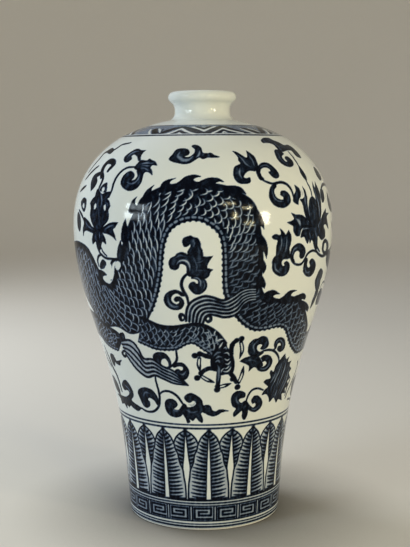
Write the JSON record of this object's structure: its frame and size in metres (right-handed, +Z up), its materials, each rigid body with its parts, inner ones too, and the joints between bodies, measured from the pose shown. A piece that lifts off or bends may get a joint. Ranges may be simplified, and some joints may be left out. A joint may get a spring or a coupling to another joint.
{
  "type": "meiping vase",
  "caption": "Tall porcelain vase with a broad high shoulder, a short narrow neck with a rolled lip and a tapered lower body.",
  "frame": {"origin": "middle of the foot ring, on the surface that the vase stands on", "axes": "+Z up along the vase's axis of turning; -Y faces the viewer of the front of the painting"},
  "size_m": [0.2572, 0.2572, 0.42],
  "materials": {
    "porcelain": "unglazed, smooth, fired white clay",
    "slip": "unglazed, matt",
    "glaze": "glossy clear glaze over cobalt blue painting",
    "inner_glaze": "thin clear glaze"
  },
  "bodies": {
    "root": {"foot_and_floor": "porcelain", "lower_section": "porcelain", "belly_section": "porcelain", "shoulder_section": "porcelain", "mouth_and_neck": "porcelain", "foot_slip_joint": "slip", "lower_slip_joint": "slip", "belly_slip_joint": "slip", "neck_slip_joint": "slip", "outer_glaze": "glaze", "inner_glaze": "inner_glaze"}
  },
  "joints": []
}
